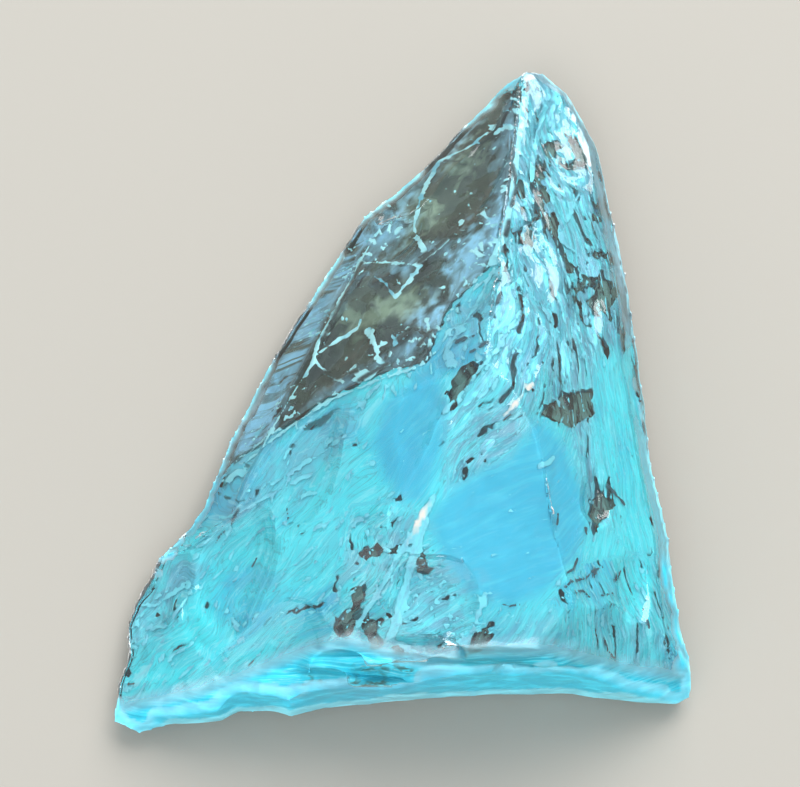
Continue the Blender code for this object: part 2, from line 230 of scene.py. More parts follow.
# Cracks that show as dark lines.
DARKS = [
    ([(4.0, 11.2), (2.6, 9.9), (1.3, 8.8)], 0.14), ([(2.2, 8.3), (1.6, 7.0), (1.1, 6.0)], 0.12),
    ([(-2.9, 9.6), (-4.3, 6.4), (-5.7, 3.6)], 0.09), ([(10.9, -10.7), (10.8, -11.5)], 0.07),
    ([(12.9, -11.3), (13.0, -11.9)], 0.09), ([(12.3, -13.7), (11.9, -14.6), (11.3, -15.1)], 0.07),
    ([(13.5, -14.3), (12.8, -15.1), (11.8, -15.5), (11.2, -16.2)], 0.07),
    ([(14.3, -13.9), (13.6, -14.3), (13.4, -15.1)], 0.08), ([(15.5, -14.0), (15.0, -14.8)], 0.09),
    ([(12.0, -16.3), (12.6, -16.0), (13.1, -16.4)], 0.07), ([(14.0, -16.1), (14.8, -15.8)], 0.07),
    ([(17.0, -16.0), (17.3, -16.8), (17.6, -17.8)], 0.07),
    ([(14.6, -7.8), (15.4, -8.5), (15.9, -9.0)], 0.10),
    ([(6.9, -17.0), (7.5, -17.2), (8.2, -17.1)], 0.06), ([(-8.2, -9.3), (-8.1, -10.1)], 0.06),
    ([(-12.3, -9.8), (-11.8, -9.0)], 0.06), ([(-10.7, -13.3), (-10.4, -12.7)], 0.06),
    ([(14.2, -18.8), (14.5, -19.6), (15.0, -20.0)], 0.08), ([(0.6, 0.2), (2.0, 1.4)], 0.12),
    ([(-3.0, -0.4), (-1.0, 0.6)], 0.12), ([(7.0, 5.4), (6.6, 4.2)], 0.12),
    ([(-0.2, 2.6), (0.8, 3.3), (1.9, 2.4)], 0.15), ([(1.2, 1.8), (2.2, 2.9)], 0.12),
    ([(3.9, 1.6), (5.1, 1.9)], 0.17), ([(4.9, 0.6), (5.9, 1.2)], 0.12),
    ([(3.0, 10.3), (3.9, 11.5)], 0.13), ([(1.3, 9.2), (2.3, 9.7)], 0.11),
    ([(7.4, 10.2), (7.7, 11.3)], 0.12), ([(-0.9, 2.0), (-1.2, 1.0)], 0.11),
    ([(-5.6, 0.9), (-4.6, 0.2), (-3.2, 0.4)], 0.12), ([(-7.2, -1.8), (-6.2, -0.6)], 0.10),
    ([(-0.7, -22.3), (1.4, -22.0)], 0.07), ([(-6.4, -21.9), (-3.8, -22.1)], 0.08),
    ([(8.0, 16.0), (8.3, 14.2), (7.9, 12.6)], 0.10), ([(-13.6, -11.4), (-12.9, -10.4)], 0.06),
]
# Dusky seams in the frosted front.
SEAMS = [
    ([(-3.9, -22.1), (-2.6, -22.3), (-1.4, -22.1)], 0.44), ([(-6.8, -21.6), (-5.4, -21.9)], 0.34),
    ([(-0.4, -20.9), (0.6, -21.2), (1.9, -21.6)], 0.20), ([(2.1, -21.8), (3.2, -21.6)], 0.16),
    ([(3.4, -21.9), (5.0, -21.8), (7.3, -21.6)], 0.12), ([(-3.4, -20.9), (-1.0, -21.1)], 0.14),
    ([(-15.6, -24.0), (-14.4, -23.6)], 0.16), ([(11.0, -21.9), (13.5, -21.8)], 0.10),
]
# Painted sparkles: bright dots in the clear part.
PAINTED_SPARKLES = [
    (4.4, 11.8, 0.34, 0.19, 60), (4.1, 10.0, 0.24, 0.14, 60), (3.2, 9.1, 0.24, 0.14, 60),
    (-1.7, 12.1, 0.34, 0.20, 60), (-2.5, 11.4, 0.2, 0.14, 20), (3.0, 6.4, 0.26, 0.12, 0),
    (1.3, 6.1, 0.2, 0.13, 60), (3.5, 4.5, 0.2, 0.12, 20), (-4.3, 5.0, 0.22, 0.13, 120),
    (-4.0, 1.7, 0.26, 0.12, 60), (-3.4, 0.7, 0.26, 0.13, 30), (4.5, 1.0, 0.26, 0.14, 80),
    (5.5, 1.7, 0.24, 0.1, 100),
]

# How fine the meshes are, and how thick a sheet is.
SKIN_VOXEL = 0.225 * MM
LINING_VOXEL = 0.25 * MM
STROKE_VOXEL = 0.148 * MM
SHEET_THICKNESS = 0.03 * MM

# How far each sheet lies below the skin, and the least that it keeps from it, in millimetres.
UPPER_DEPTH, UPPER_MARGIN = 0.36, 0.06
LOWER_DEPTH, LOWER_MARGIN = 3.0, 0.35
# The sheet of painted shade in the clear part lies this deep and keeps this far off.
SHADE_SHEET_DEPTH, SHADE_SHEET_MARGIN = 0.9, 0.2
FROST_DEPTH, FROST_MARGIN = 0.14, 0.05

# The lower veil starts as a grid of this size, this high above the crystal, in millimetres.
GRID_SIZE = (44, 51)
GRID_CELLS = (190, 220)
GRID_HEIGHT = 25

# A wall's normal rises by less than this. What lies beside a wall is looked for from this height.
WALL_NORMAL = 0.45
OVERHEAD = 30
# The sheets end this high above the ground.
FOOT = 0.5
# The ledges are smoothed from this height up, and fully so this much higher.
LEDGE_FOOT = 1.2
LEDGE_RISE = 1.5
# A crack of less than this half width is frayed more.
THIN_CRACK = 0.2

# How far the frosted rim, its painted highlight line and the painted highlight on its foot reach.
RIM_BAND = 0.9
RIM_LINE = 0.35
RIM_FOOT = 0.9
# An outer wall has nothing of the crystal this far beside it, for the rim and for its line.
RIM_REACH = 0.7
LINE_REACH = 0.2

# The sizes of the patterns, along and across the grain, in millimetres.
COARSE_CHIPS = (3.0, 1.1)
FINE_CHIPS = (1.0, 0.35)
RIM_FROST = (2.0, 0.7)
LEDGE_LAYERS = (6.0, 0.24)
SEAM_DOTS = (0.8, 0.35)
VEIL_CLOUD = (7.0, 4.0)
VEIL_STREAK = (5.5, 0.6)
VEIL_SWIRL = (2.4, 0.9)
VEIL_HAIR = (3.2, 0.26)
VEIL_CHIPS = (1.8, 0.6)
VEIL_TEAR = (2.4, 0.7)
CRACK_TINT = (1.6, 1.0)
# The next three are the patterns of the sheet of painted shade.
SHADE_SHEET_CLOUD = (5.0, 3.0)
SHADE_SHEET_STREAK = (3.2, 0.7)
SHADE_SHEET_RIB = (5.0, 0.40)
SHORT_FLECKS = (0.55, 0.30)
LONG_FLECKS = (1.4, 0.32)

# The noise starts from this, so that the break is the same each time.
SEED = 1


class Value:
    """A socket of a finish. Sums on it add Math nodes."""

    def __init__(self, finish, socket):
        self.finish = finish
        self.socket = socket

    def maths(self, operation, first, second):
        return self.finish.node("ShaderNodeMath", {0: first, 1: second}, {"operation": operation})

    def __add__(self, other):
        return self.maths("ADD", self, other)

    def __radd__(self, other):
        return self.maths("ADD", other, self)

    def __sub__(self, other):
        return self.maths("SUBTRACT", self, other)

    def __rsub__(self, other):
        return self.maths("SUBTRACT", other, self)

    def __mul__(self, other):
        return self.maths("MULTIPLY", self, other)

    def __rmul__(self, other):
        return self.maths("MULTIPLY", other, self)

    def fade(self, low, high):
        """0 below low and 1 above high, or the other way round where low is the larger."""
        inputs = {"Value": self, "From Min": low, "From Max": high}
        return self.finish.node("ShaderNodeMapRange", inputs, {"interpolation_type": "SMOOTHSTEP"})

    def ridge(self, level, width):
        """1 where the value is at the level, 0 a width away from it."""
        gap = self.finish.node("ShaderNodeMath", {0: self - level}, {"operation": "ABSOLUTE"})
        return gap.fade(width, 0)


class Finish:
    """A material, and the one method that adds its nodes."""

    def __init__(self, name):
        self.material = bpy.data.materials.new(name)
        self.material.use_nodes = True
        self.tree = self.material.node_tree
        self.shader = self.tree.nodes["Principled BSDF"]
        self.output = self.tree.nodes["Material Output"]

    def node(self, kind, inputs=(), settings=(), out=0):
        node = self.tree.nodes.new(kind)
        for key, value in dict(settings).items():
            setattr(node, key, value)
        for key, value in dict(inputs).items():
            if isinstance(value, Value):
                self.tree.links.new(value.socket, node.inputs[key])
            else:
                node.inputs[key].default_value = value
        return Value(self, node.outputs[out])

    def set(self, inputs):
        for key, value in inputs.items():
            if isinstance(value, Value):
                self.tree.links.new(value.socket, self.shader.inputs[key])
            else:
                self.shader.inputs[key].default_value = value

    def zone(self, name):
        """A mask that was painted on the piece."""
        return self.node("ShaderNodeAttribute", settings={"attribute_name": name}, out="Fac")

    def vector(self, operation, first, second):
        return self.node("ShaderNodeVectorMath", {0: first, 1: second}, {"operation": operation})

    def streaks(self, size, shift=0.0):
        """The grain, counted in steps of this size along and across it."""
        grain = self.node("ShaderNodeUVMap", settings={"uv_map": "grain"})
        return self.vector("ADD", self.vector("DIVIDE", grain, (*size, 1)), (shift, shift, 0))

    def noise(self, vector, detail=3.0, roughness=0.5, distortion=0.0):
        inputs = {"Vector": vector, "Scale": 1.0, "Detail": detail, "Roughness": roughness}
        inputs["Distortion"] = distortion
        return self.node("ShaderNodeTexNoise", inputs, {"noise_dimensions": "2D"})

    def colours(self, share, low, high):
        return self.node("ShaderNodeMix", {0: share, 6: low, 7: high}, {"data_type": "RGBA"}, out=2)

    def chips(self, vector):
        """A random lean for each of the small flat breaks between the streaks."""
        inputs = {"Vector": vector, "Scale": 1.0}
        cell = self.node("ShaderNodeTexVoronoi", inputs, {"voronoi_dimensions": "2D"}, out="Color")
        return self.vector("SUBTRACT", cell, (0.5, 0.5, 0.5))

    def lean(self, vector, amount):
        return self.node("ShaderNodeVectorMath", {0: vector, "Scale": amount}, {"operation": "SCALE"})

    def facing(self, *leans):
        """The surface's normal, turned by these leans."""
        normal = self.node("ShaderNodeNewGeometry", out="Normal")
        for lean in leans:
            normal = self.vector("ADD", normal, lean)
        return self.node("ShaderNodeVectorMath", {0: normal}, {"operation": "NORMALIZE"})


IOR = 1.577
DEPTH_COLOUR = (0.50, 0.65, 0.60, 1)
DEPTH_DENSITY = 55.0
GLASS = (0.95, 0.99, 1.0, 1)
LEDGE_BLUE = (0.07, 0.78, 0.93, 1)
LEDGE_DEEP = (0.04, 0.62, 0.78, 1)
SEAM_OLIVE = (0.06, 0.15, 0.13, 1)
RIM_BLUE = (0.09, 0.74, 0.88, 1)
RIM_GREY = (0.26, 0.42, 0.54, 1)
# Pale ice, for the rim where a highlight is painted and for pale lines in the ledges.
RIM_ICE = (0.60, 0.97, 1.0, 1)


def skin_finish():
    """Clear, with a frosted rim that has a painted highlight in its colour, and a frosted, layered front.
    """
    finish = Finish("aquamarine_skin")
    life = finish.zone("life")
    coarse = finish.chips(finish.streaks(COARSE_CHIPS))
    fine = finish.chips(finish.streaks(FINE_CHIPS))
    rim = finish.zone("rim")
    ledges = finish.zone("ledges") * (1 - rim)
    frost = finish.noise(finish.streaks(RIM_FROST)).fade(0.40, 0.70)
    blue = finish.colours(finish.zone("grey") * 0.8, RIM_BLUE, RIM_GREY)
    # The rim's colour turns pale ice where a highlight is painted.
    tint = finish.colours(finish.zone("rim_highlight"), blue, RIM_ICE)
    layers = finish.noise(finish.streaks(LEDGE_LAYERS), 4.0)
    layered = finish.colours(layers.fade(0.40, 0.56), LEDGE_DEEP, LEDGE_BLUE)
    pale = finish.colours(layers.ridge(0.55, 0.025) * 0.5, layered, RIM_ICE)
    dots = finish.noise(finish.streaks(SEAM_DOTS, 4.0), 2.0).fade(0.58, 0.40)
    ledge = finish.colours(finish.zone("seam") * (dots * 0.75 + 0.2), pale, SEAM_OLIVE)
    finish.set({
        "Base Color": finish.colours(rim, finish.colours(ledges, GLASS, ledge), tint),
        "Roughness": 0.03 + life * frost * 0.12 + rim * 0.8 + ledges * 0.55,
        "Metallic": rim * (0.6 + frost * 0.3) + ledges * (0.5 + frost * 0.25),
        "IOR": IOR,
        "Transmission Weight": 1.0,
        "Normal": finish.facing(finish.lean(coarse, life * 0.30), finish.lean(fine, life * 0.22)),
    })
    depth = finish.node("ShaderNodeVolumeAbsorption", {"Color": DEPTH_COLOUR, "Density": DEPTH_DENSITY})
    finish.tree.links.new(depth.socket, finish.output.inputs["Volume"])
    return finish.material


DEEP_BLUE = (0.025, 0.52, 0.73, 1)
SEA_BLUE = (0.07, 0.78, 0.86, 1)
TURQUOISE = (0.02, 0.79, 0.85, 1)
PALE_BLUE = (0.15, 0.89, 0.95, 1)
LILAC_GREY = (0.20, 0.45, 0.59, 1)
SLATE = (0.05, 0.22, 0.27, 1)
ICE = (0.52, 0.96, 1.0, 1)
CREAM = (1.0, 0.86, 0.76, 1)
FROST_BLUE = (0.22, 0.80, 0.89, 1)
FROST_DEEP = (0.20, 0.62, 0.74, 1)
DARK_OLIVE = (0.022, 0.05, 0.04, 1)
OLIVE = (0.10, 0.16, 0.12, 1)
KHAKI = (0.36, 0.50, 0.36, 1)
LILAC = (0.36, 0.76, 0.98, 1)
DUSK = (0.012, 0.03, 0.025, 1)
MOSS = (0.14, 0.32, 0.28, 1)
INK = (0.01, 0.08, 0.11, 1)


def veil_finish(name, shift):
    """Milky sea blue, streaked along the grain, with finer pale and dark lines where it is crushed, and an
    even deep blue where the sky's reflection is painted.
    """
    finish = Finish(name)
    life = finish.zone("life")
    # An even, unbroken deep blue here is a painted reflection of the sky.
    sky_reflection = finish.zone("azure_reflection")
    cloud = finish.noise(finish.streaks(VEIL_CLOUD, shift), 2.0)
    streak = finish.noise(finish.streaks(VEIL_STREAK, shift), 5.0, 0.55, 0.4)
    swirl = finish.noise(finish.streaks(VEIL_SWIRL, shift + 2.0), 3.0, 0.55, 1.3)
    hair = finish.noise(finish.streaks(VEIL_HAIR, shift + 5.0), 3.0, 0.5, 0.6)
    busy = (life * 0.9 + 0.1) * (1 - sky_reflection * 0.85)
    fine = (life * 0.5 + 0.5) * (1 - sky_reflection * 0.75)
    bright = (cloud + streak * 0.4).fade(0.38, 0.72) * (1 - sky_reflection * 0.88)
    plain = finish.colours(bright, DEEP_BLUE, SEA_BLUE)
    body = finish.colours(finish.zone("sea") * (cloud.fade(0.30, 0.55) * 0.4 + 0.6), plain, TURQUOISE)
    grey = finish.zone("grey") * (streak.fade(0.70, 0.40) * 0.4 + 0.5)
    dull = swirl.fade(0.52, 0.36) * (busy * 0.7 + 0.05) * (1 - grey) + grey
    greyed = finish.colours(dull, body, LILAC_GREY)
    pale = finish.colours(streak.fade(0.48, 0.68) * (fine * 0.6 + 0.1), greyed, PALE_BLUE)
    light = finish.colours(swirl.ridge(0.58, 0.05) * busy * 0.65, pale, PALE_BLUE)
    dark = finish.colours(hair.ridge(0.43, 0.035) * fine * 0.7, light, SLATE)
    lit = finish.colours(hair.ridge(0.60, 0.035) * fine * 0.6, dark, ICE)
    chips = finish.chips(finish.streaks(VEIL_CHIPS, shift))
    finish.set({
        "Base Color": lit,
        "Roughness": 0.55 - life * 0.2,
        "Metallic": 0.1 + life * 0.2,
        "Normal": finish.facing(finish.lean(chips, 0.05 + life * (1 - sky_reflection) * 0.5)),
    })
    return finish.material


def frost_finish():
    """Milky blue, nearly white in the clear part, with dark cracks and cream glints."""
    finish = Finish("frost_white")
    white = finish.zone("white")
    tint = finish.noise(finish.streaks(CRACK_TINT), 3.0)
    tinted = finish.colours(tint.fade(0.35, 0.60), FROST_DEEP, FROST_BLUE)
    plain = finish.colours(white * tint.fade(0.30, 0.50), tinted, ICE)
    dark = finish.zone("dark")
    inked = finish.colours(dark, plain, finish.colours(white, INK, DARK_OLIVE))
    finish.set({
        "Base Color": finish.colours(finish.zone("glint"), inked, CREAM),
        "Roughness": 0.4,
        "Metallic": 0.3 - dark * 0.3,
    })
    return finish.material


def painted_shade_finish():
    """Painted shade: dark olive that stands in for the shaded ground seen through the clear part and under
    the veils' openings, with khaki and lilac tints, thick in some places and thin in others.
    """
    finish = Finish("olive_painted_shade")
    cloud = finish.noise(finish.streaks(SHADE_SHEET_CLOUD, 3.0), 3.0)
    streak = finish.noise(finish.streaks(SHADE_SHEET_STREAK, 9.0), 4.0, 0.55, 0.5)
    rib = finish.noise(finish.streaks(SHADE_SHEET_RIB, 5.0), 1.0)
    inside = finish.zone("clear")
    dusk = finish.colours(cloud.fade(0.35, 0.65), DARK_OLIVE, OLIVE)
    warm = finish.colours(finish.zone("khaki") * streak.fade(0.30, 0.55), dusk, KHAKI)
    ribs = finish.colours(rib.fade(0.36, 0.54), OLIVE, LILAC)
    edged = finish.colours(finish.zone("bevel") * 0.9, warm, ribs)
    feather = finish.zone("lilac") * (streak.fade(0.32, 0.58) * 0.65 + 0.35)
    clear = finish.colours(feather, edged, LILAC)
    dark = finish.zone("dusk") * streak.fade(0.62, 0.42)
    black = finish.colours(dark, clear, DUSK)
    under = finish.colours(streak.fade(0.42, 0.56), DUSK, MOSS)
    thick = 0.50 + cloud.fade(0.60, 0.35) * 0.4 + dark * 0.5
    finish.set({
        "Base Color": finish.colours(inside, under, black),
        "Roughness": 0.5,
        "Alpha": (thick + feather * 0.5) * inside + (1 - inside) * 0.8,
    })
    return finish.material


def deselect():
    bpy.ops.object.select_all(action="DESELECT")


def pick(piece):
    deselect()
    bpy.context.view_layer.objects.active = piece
    piece.select_set(True)


def modify(piece, kind, **settings):
    """Adds a modifier with these settings and applies it."""
    modifier = piece.modifiers.new(kind.lower(), kind)
    for key, value in settings.items():
        setattr(modifier, key, value)
    bpy.ops.object.modifier_apply(modifier=modifier.name)


def corners(piece):
    found = np.empty(len(piece.data.vertices) * 3)
    piece.data.vertices.foreach_get("co", found)
    return found.reshape(-1, 3)


def off_line(x, y, start, end):
    """The distance from each of these places to the line between two points."""
    (ax, ay), (bx, by) = start, end
    share = ((x - ax) * (bx - ax) + (y - ay) * (by - ay)) / ((bx - ax) ** 2 + (by - ay) ** 2)
    share = np.clip(share, 0, 1)
    return np.hypot(x - ax - share * (bx - ax), y - ay - share * (by - ay))


def cover(points, outline, soft):
    """How far inside an outline each point lies, from 0 to 1, over a soft edge of this width."""
    x = points[:, 0] / MM
    y = points[:, 1] / MM
    inside = np.zeros(len(points), bool)
    nearest = np.full(len(points), np.inf)
    for (ax, ay), (bx, by) in zip(outline, outline[1:] + outline[:1]):
        crosses = (ay > y) != (by > y)
        level = np.where(crosses, (y - ay) / (by - ay if by != ay else 1), 0)
        inside ^= crosses & (x < ax + level * (bx - ax))
        nearest = np.minimum(nearest, off_line(x, y, (ax, ay), (bx, by)))
    depth = np.where(inside, nearest, -nearest)
    return np.clip(0.5 + depth / soft, 0, 1)


def covered(points, outlines, soft):
    """The most that any of these outlines covers each point."""
    return np.maximum.reduce([cover(points, outline, soft) for outline in outlines])


def ovals(points, places, soft):
    """How far inside any of these ragged ovals each point lies, from 0 to 1."""
    x = points[:, 0] / MM
    y = points[:, 1] / MM
    most = np.zeros(len(points))
    uneven = (wander(points, 0.9, 3, 31.0) - 0.5) * 1.1
    for middle_x, middle_y, length, width, angle in places:
        turn = math.radians(angle)
        along = (x - middle_x) * math.cos(turn) + (y - middle_y) * math.sin(turn)
        across = (y - middle_y) * math.cos(turn) - (x - middle_x) * math.sin(turn)
        reach = np.hypot(along / length, across / width) + uneven
        most = np.maximum(most, np.clip(0.5 + (1 - reach) * width / soft, 0, 1))
    return most


def off_route(points, route):
    """Each point's distance from a route, seen from above, in millimetres."""
    x = points[:, 0] / MM
    y = points[:, 1] / MM
    return np.minimum.reduce([off_line(x, y, start, end) for start, end in zip(route, route[1:])])


def near_routes(points, routes, fray):
    """How near each point lies to any of these routes, from 0 to 1, with frayed edges."""
    return np.maximum.reduce([
        (1.4 - off_route(points, route) / (width * (0.2 + 1.6 * fray))).clip(0, 1)
        for route, width in routes
    ])


def spread(points, zones, base):
    """An amount that changes from zone to zone, over soft borders."""
    amount = np.full(len(points), float(base))
    for outline, level in zones:
        share = cover(points, outline, 1.2)
        amount = amount * (1 - share) + level * share
    return amount


def wander(points, size, octaves, shift):
    """A noise of this size in millimetres, at each point, in equal shares from 0 to 1."""
    drift = Vector((shift, shift, shift))
    scale = 1 / (size * MM)
    found = [noise.fractal(Vector(point) * scale + drift, 0.8, 2.0, octaves) for point in points]
    return ranked(found)


def ragged(points, size, curl, shift):
    """A noise drawn out along the grain and curled by a broader one, in equal shares from 0 to 1."""
    along, across = size
    found = []
    for (u, v), point in zip(grain(points), points):
        bend = noise.noise_vector(Vector(point) / (2.2 * MM)) * curl
        place = Vector((u / along + bend.x, v / across + bend.y, shift))
        found.append(noise.fractal(place, 0.8, 2.0, 4))
    return ranked(found)


def ranked(values):
    """Each value's place among all of them, from 0 to 1."""
    order = np.argsort(np.argsort(values))
    return order / max(len(order) - 1, 1)


def grain(points):
    """Where each point lies along and across its own zone's grain, in millimetres."""
    turn = np.full(len(points), float(BODY_GRAIN))
    zone = np.zeros(len(points))
    for index, (outline, angle) in enumerate(GRAINS, 1):
        inside = cover(points, outline, 0.01) > 0.5
        turn[inside] = angle
        zone[inside] = index
    turn = np.radians(turn)
    x, y, z = points.T / MM
    bend = np.array([noise.noise_vector(Vector(point) / (3.0 * MM))[:2] for point in points])
    bend *= (0.35 + 0.65 * life(points))[:, None]
    along = x * np.cos(turn) + y * np.sin(turn) + zone * 37 + bend[:, 0]
    across = y * np.cos(turn) - x * np.sin(turn) + z * 0.7 + bend[:, 1] * 0.8
    return np.column_stack([along, across])


def life(points):
    """How lively the break is at each point. The clear part is calm."""
    return spread(points, LIVES, BODY_LIFE) * (1 - cover(points, CLEAR, 1.0))


def paint(piece, name, share):
    """Paints a mask of this name, which a finish reads as a zone."""
    mask = piece.data.attributes.new(name, "FLOAT", "POINT")
    mask.data.foreach_set("value", share.astype(np.float32))


def paint_zones(piece):
    """Paints the zones' masks, and lays the grain as a UV map."""
    points = corners(piece)
    paint(piece, "life", life(points))
    # The patches where the sky's reflection is painted as even deep blue.
    paint(piece, "azure_reflection", covered(points, AZURE_REFLECTIONS, 1.0))
    paint(piece, "grey", np.maximum(ovals(points, GREYS, 2.2) * 0.65, spread(points, DULLS, 0)))
    paint(piece, "glint", ovals(points, GLINTS, 0.2))
    paint(piece, "white", np.maximum(cover(points, CLEAR, 2.0), cover(points, CENTRE, 1.5) * 0.12))
    paint(piece, "sea", ovals(points, SEAS, 2.5))
    mesh = piece.data
    carried = np.empty(len(mesh.loops), int)
    mesh.loops.foreach_get("vertex_index", carried)
    layer = mesh.uv_layers.get("grain") or mesh.uv_layers.new(name="grain")
    layer.data.foreach_set("uv", grain(points)[carried].ravel())


def outer_walls(body, reach):
    """A search tree of the steep places on the body that have nothing of it this far beside them."""
    surface = BVHTree.FromObject(body, bpy.context.evaluated_depsgraph_get())
    down = Vector((0, 0, -1))
    walls = []
    for vertex in body.data.vertices:
        if abs(vertex.normal.z) > WALL_NORMAL:
            continue
        beside = vertex.co + Vector((vertex.normal.x, vertex.normal.y, 0)).normalized() * reach * MM
        if surface.ray_cast(Vector((beside.x, beside.y, OVERHEAD * MM)), down)[0] is None:
            walls.append(vertex.co.copy())
    tree = KDTree(len(walls))
    for index, place in enumerate(walls):
        tree.insert(place, index)
    tree.balance()
    return tree


def off_walls(points, body, reach):
    """Each point's distance from the outer walls, in millimetres."""
    walls = outer_walls(body, reach)
    return np.array([walls.find(Vector(point))[2] for point in points]) / MM


def paint_rim(piece):
    """Frosts the outer walls, less and less over a band beside them, and the chipped front. Paints a
    highlight into the rim's colour along the outline, near the foot, over the clear part and faintly on the
    front.
    """
    points = corners(piece)
    away = off_walls(points, piece, RIM_REACH)
    off = off_walls(points, piece, LINE_REACH)
    # Painted highlight: lighter towards the foot, along the outline, over the clear part and faintly on the
    # front.
    low = (RIM_FOOT - points[:, 2] / MM).clip(0, 1) * 0.5
    line = (1 - off / RIM_LINE).clip(0, 1)
    clear = cover(points, CLEAR, 1.5)
    side = cover(points, SIDE, 1.5)
    band = RIM_BAND + 0.4 * clear - 0.4 * side - 0.5 * cover(points, LOBE, 1.5)
    frosted = (1 - away / band).clip(0, 1) ** (0.45 + 0.75 * clear) * (1 - 0.45 * side)
    paint(piece, "rim", np.maximum(frosted, line))
    front = cover(points, FRONT, 2.0) * 0.10
    paint(piece, "rim_highlight", np.maximum.reduce([clear * 0.5, front, low, line * 0.6]))
    paint(piece, "seam", near_routes(points, SEAMS, wander(points, 0.8, 3, 51.0)))
    paint(piece, "ledges", cover(points, FRONT, 1.5))


def even_copy(source, name, voxel):
    """A copy of a closed piece, as one fine even mesh."""
    piece = bpy.data.objects.new(name, source.data.copy())
    bpy.context.scene.collection.objects.link(piece)
    pick(piece)
    bpy.ops.object.mode_set(mode="EDIT")
    bpy.ops.mesh.select_all(action="SELECT")
    bpy.ops.mesh.remove_doubles(threshold=1e-6)
    bpy.ops.object.mode_set(mode="OBJECT")
    piece.data.remesh_voxel_size = voxel
    bpy.ops.object.voxel_remesh()
    piece.data.materials.clear()
    return piece


def rough(name, size, strength, middle=0.5):
    """The settings of a Displace with a noise of this size and strength, in millimetres."""
    texture = bpy.data.textures.new(name, "CLOUDS")
    texture.noise_scale = size * MM
    return {
        "texture": texture, "texture_coords": "LOCAL", "strength": strength * MM, "mid_level": middle,
    }


def pressed(name, size, strength):
    """The same, pressed into the surface and never out of it."""
    return rough(name, size, strength, 1.0)


def skin():
    """The outer surface, with the fragment's own shape and a finer break to it."""
    piece = even_copy(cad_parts["crystal"], "crystal_skin", SKIN_VOXEL)
    modify(piece, "DISPLACE", **pressed("broad", 5.0, 0.35))
    modify(piece, "DISPLACE", **pressed("fine", 1.1, 0.10))
    points = corners(piece)
    high = ((points[:, 2] / MM - LEDGE_FOOT) / LEDGE_RISE).clip(0, 1)
    weigh(piece, "ledges", cover(points, LEDGES, 1.5) * high)
    modify(piece, "SMOOTH", vertex_group="ledges", factor=0.5, iterations=60)
    modify(piece, "DISPLACE", vertex_group="ledges", **pressed("ledge_break", 1.5, 0.25))
    piece.vertex_groups.clear()
    bpy.ops.object.shade_smooth()
    paint_zones(piece)
    paint_rim(piece)
    piece.data.materials.append(skin_finish())
    return piece


def trim(piece, corners_out):
    """Takes these corners off a piece, with the faces that they carry."""
    doomed = {corner.index for corner in corners_out}
    mesh = bmesh.new()
    mesh.from_mesh(piece.data)
    bmesh.ops.delete(mesh, geom=[v for v in mesh.verts if v.index in doomed], context="VERTS")
    mesh.to_mesh(piece.data)
    mesh.free()


def keep_inside(piece, body, margin):
    """Takes away what lies outside the body or within a margin of its surface."""
    tree = BVHTree.FromObject(body, bpy.context.evaluated_depsgraph_get())
    up = Vector((0, 0, 1))
    weights = []
    for vertex in piece.data.vertices:
        above = tree.ray_cast(vertex.co, up)[0]
        below = tree.ray_cast(vertex.co, -up)[0]
        depth = tree.find_nearest(vertex.co)[3] / MM
        if above is None or below is None:
            depth = -depth
        weights.append(0.5 + (depth - margin) * 1.5)
    keep_where(piece, weights, 0.5)


def tear(piece, calm_share, lively_share, shift, spots=False):
    """Opens ragged gaps along the grain, and all of the clear part. The shares are how much opens."""
    points = corners(piece)
    lively = life(points)
    share = (calm_share + (lively_share - calm_share) * lively) * (1 - covered(points, AZURE_REFLECTIONS, 0.6))
    kept = 0.5 + (1 - share - ragged(points, VEIL_TEAR, 0.6, shift)) * 4
    edge = (wander(points, 1.2, 3, shift) - 0.5) * 0.5
    clear = covered(points, [CLEAR] + GAPS, 0.8)
    if spots:
        clear = np.maximum(clear, ovals(points, SPOTS, 0.35))
    keep_where(piece, np.minimum(kept, 1.0 - clear + edge * (clear > 0.05)), 0.5)


def weigh(piece, name, weights):
    """Adds a vertex group with these weights."""
    group = piece.vertex_groups.new(name=name)
    for index, weight in enumerate(weights):
        group.add([index], min(max(float(weight), 0.0), 1.0), "REPLACE")


def keep_where(piece, weights, level):
    """Keeps the piece where its weights are above a level, with a smooth cut edge."""
    weigh(piece, "kept", weights)
    modify(piece, "MASK", vertex_group="kept", threshold=level, use_smooth=True)
    piece.vertex_groups.clear()


def finish_sheet(piece, material):
    """Gives a torn sheet its thickness and its finish."""
    modify(piece, "SOLIDIFY", thickness=SHEET_THICKNESS, offset=0)
    bpy.ops.object.shade_smooth()
    paint_zones(piece)
    piece.data.materials.append(material)
    return piece


def sunk_copy(body, name, voxel, least_up, depth, smoothing):
    """The body's surface where it faces up by at least this much, sunk into it by a depth."""
    piece = even_copy(body, name, voxel)
    trim(piece, [v for v in piece.data.vertices if v.normal.z < least_up or v.co.z < FOOT * MM])
    modify(piece, "DISPLACE", mid_level=0, strength=-depth * MM)
    modify(piece, "SMOOTH", factor=0.6, iterations=smoothing)
    return piece


def wave(piece, size, strength):
    """Waves a sheet, more so where the break is lively."""
    weigh(piece, "lively", 0.2 + 0.8 * life(corners(piece)))
    modify(piece, "DISPLACE", vertex_group="lively", **rough(piece.name + "_wave", size, strength))
    piece.vertex_groups.clear()


def upper_veil(body):
    """The veil just under the broken top and walls."""
    piece = sunk_copy(body, "upper_veil", LINING_VOXEL, least_up=-0.5, depth=UPPER_DEPTH, smoothing=2)
    wave(piece, size=2.6, strength=0.5)
    keep_inside(piece, body, UPPER_MARGIN)
    tear(piece, calm_share=0.0, lively_share=0.12, shift=0.0, spots=True)
    return finish_sheet(piece, veil_finish("upper_veil_finish", 0.0))


